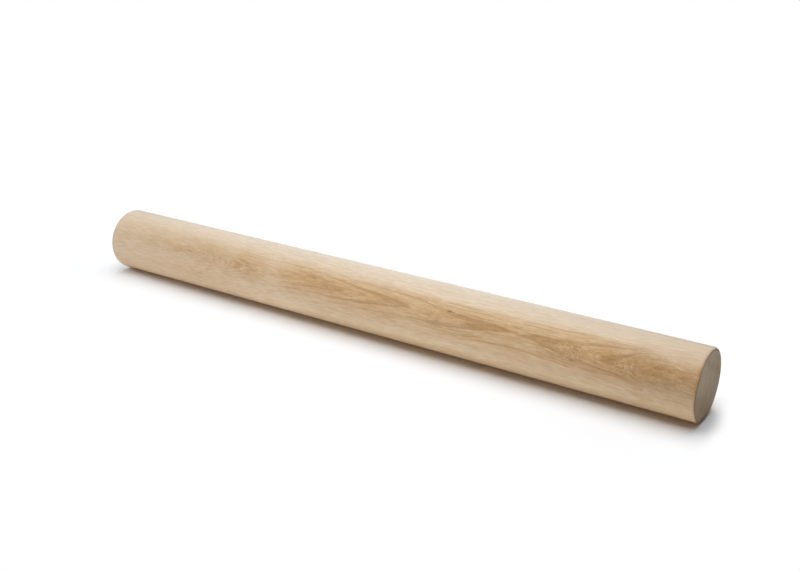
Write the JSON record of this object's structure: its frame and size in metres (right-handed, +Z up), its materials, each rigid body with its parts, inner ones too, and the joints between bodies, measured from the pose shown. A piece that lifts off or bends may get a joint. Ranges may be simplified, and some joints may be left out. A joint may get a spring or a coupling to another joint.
{
  "type": "pasta rolling pin",
  "caption": "One-piece wooden pasta rolling pin: a straight turned cylinder with eased rims and flat end faces, for rolling out dough.",
  "frame": {"origin": "on the surface the pin lies on, under the middle of its length", "axes": "+X along the pin, towards the end that is nearest in the picture; +Z up, away from the surface it lies on; the pin's own axis is half a diameter above the origin"},
  "size_m": [0.5, 0.0486, 0.0485],
  "materials": {
    "pale_hardwood": "bare, fine-sanded, with a very faint sheen"
  },
  "bodies": {
    "root": {"pin_body": "pale_hardwood"}
  },
  "joints": []
}
